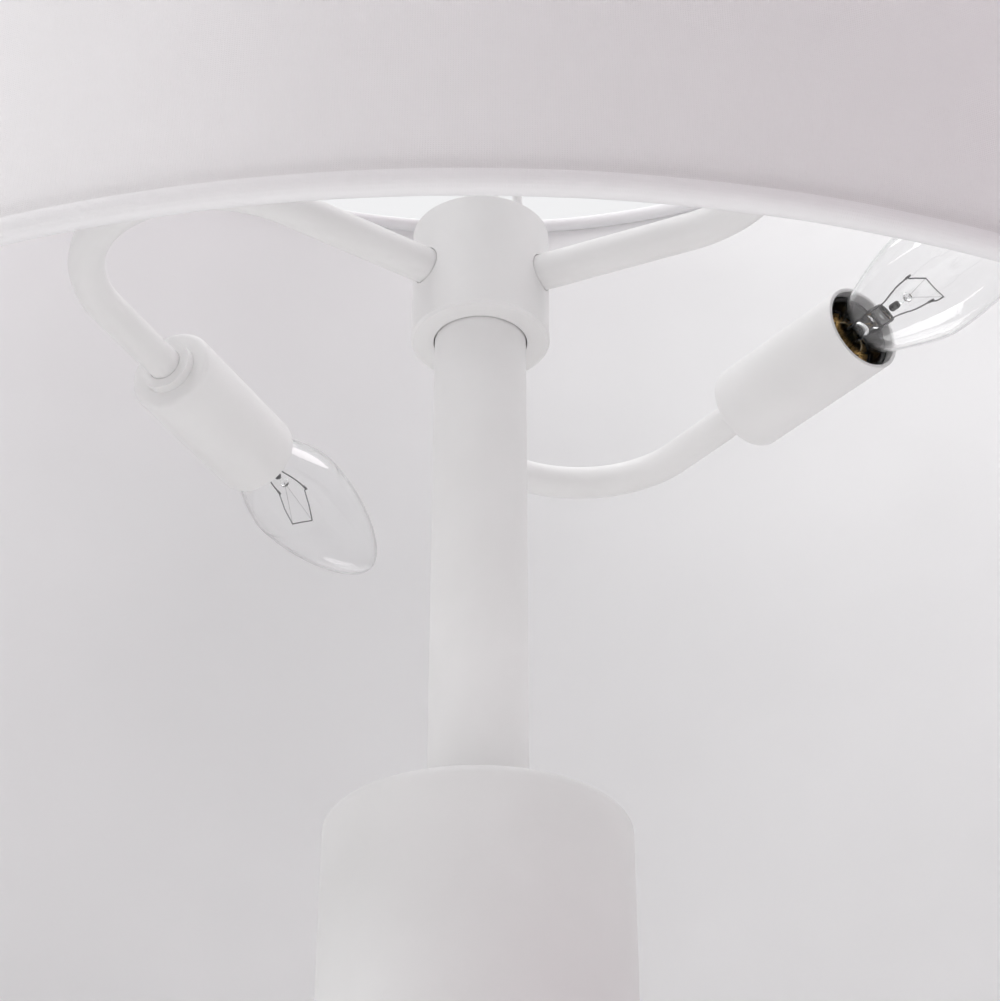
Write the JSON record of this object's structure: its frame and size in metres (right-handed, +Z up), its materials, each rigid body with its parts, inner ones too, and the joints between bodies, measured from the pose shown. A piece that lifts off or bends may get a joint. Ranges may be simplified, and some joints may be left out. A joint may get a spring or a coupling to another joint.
{
  "type": "table lamp",
  "caption": "Table lamp: drum shade on a riser over a hub whose bent arms carry candle bulbs, on a slim stem, a wide column and a round foot.",
  "frame": {"origin": "on the lamp's axis, at the underside of the felt", "axes": "+Z up; -Y is the side the picture is taken from; +X to the right seen from there"},
  "size_m": [0.465, 0.4654, 0.7022],
  "materials": {
    "white_paint": "white powder coat, satin, with a very fine grain",
    "shade_cloth": "white cloth laminated on a stiff liner, satin, lets light through softly",
    "felt": "dark pressed felt",
    "zinc": "bright zinc plate",
    "white_plastic": "smooth moulded plastic",
    "black_phenolic": "black phenolic moulding with a slight gloss",
    "brass": "bright pressed brass",
    "cap_metal": "bright cap sheet with a rolled thread",
    "bulb_glass": "clear blown glass",
    "inner_glass": "clear pinched glass tube",
    "lead_wire": "dull drawn wire",
    "filament_wire": "dark coiled tungsten"
  },
  "bodies": {
    "lamp": {"foot_felt": "felt", "foot_plate": "white_paint", "foot_washer": "zinc", "foot_nut": "zinc", "tie_rod": "zinc", "column": "white_paint", "cord_bushing": "white_plastic", "stem_bush": "zinc", "stem": "white_paint", "hub_body": "white_paint", "hub_nut": "zinc", "hub_cover": "white_paint", "riser": "white_paint", "riser_nut": "zinc", "arm_1": "white_paint", "arm_2": "white_paint", "arm_3": "white_paint", "collar_1": "white_paint", "collar_2": "white_paint", "collar_3": "white_paint", "cup_1": "white_paint", "cup_2": "white_paint", "cup_3": "white_paint", "lampholder_1": "black_phenolic", "lampholder_2": "black_phenolic", "lampholder_3": "black_phenolic", "screw_shell_1": "brass", "screw_shell_2": "brass", "screw_shell_3": "brass", "contact_1": "brass", "contact_2": "brass", "contact_3": "brass"},
    "shade": {"spider": "white_paint", "spoke_1": "white_paint", "spoke_2": "white_paint", "spoke_3": "white_paint", "top_ring": "white_paint", "bottom_ring": "white_paint", "shade_skin": "shade_cloth"},
    "finial": {"finial": "white_paint"},
    "bulb_1": {"bulb_glass_1": "bulb_glass", "bulb_cap_1": "cap_metal", "bulb_stem_1": "inner_glass", "bulb_leads_1": "lead_wire", "filament_1": "filament_wire"},
    "bulb_2": {"bulb_glass_2": "bulb_glass", "bulb_cap_2": "cap_metal", "bulb_stem_2": "inner_glass", "bulb_leads_2": "lead_wire", "filament_2": "filament_wire"},
    "bulb_3": {"bulb_glass_3": "bulb_glass", "bulb_cap_3": "cap_metal", "bulb_stem_3": "inner_glass", "bulb_leads_3": "lead_wire", "filament_3": "filament_wire"}
  },
  "joints": [
    {"name": "shade_turn", "type": "hinge", "parent": "lamp", "child": "shade", "pos_m": [0, 0, 0.6815], "axis": [0, 0, 1], "continuous": true},
    {"name": "finial_turn", "type": "hinge", "parent": "lamp", "child": "finial", "pos_m": [0, 0, 0.6842], "axis": [0, 0, 1], "range_deg": [0, 360]},
    {"name": "bulb_turn_1", "type": "hinge", "parent": "lamp", "child": "bulb_1", "pos_m": [0.07997, 0.05892, 0.4895], "axis": [0.5736, -0.8192, 0], "range_deg": [0, 360]},
    {"name": "bulb_turn_2", "type": "hinge", "parent": "lamp", "child": "bulb_2", "pos_m": [-0.09101, 0.03979, 0.4895], "axis": [0.4226, 0.9063, 0], "range_deg": [0, 360]},
    {"name": "bulb_turn_3", "type": "hinge", "parent": "lamp", "child": "bulb_3", "pos_m": [0.01104, -0.09871, 0.4895], "axis": [-0.9962, -0.0872, 0], "range_deg": [0, 360]}
  ]
}
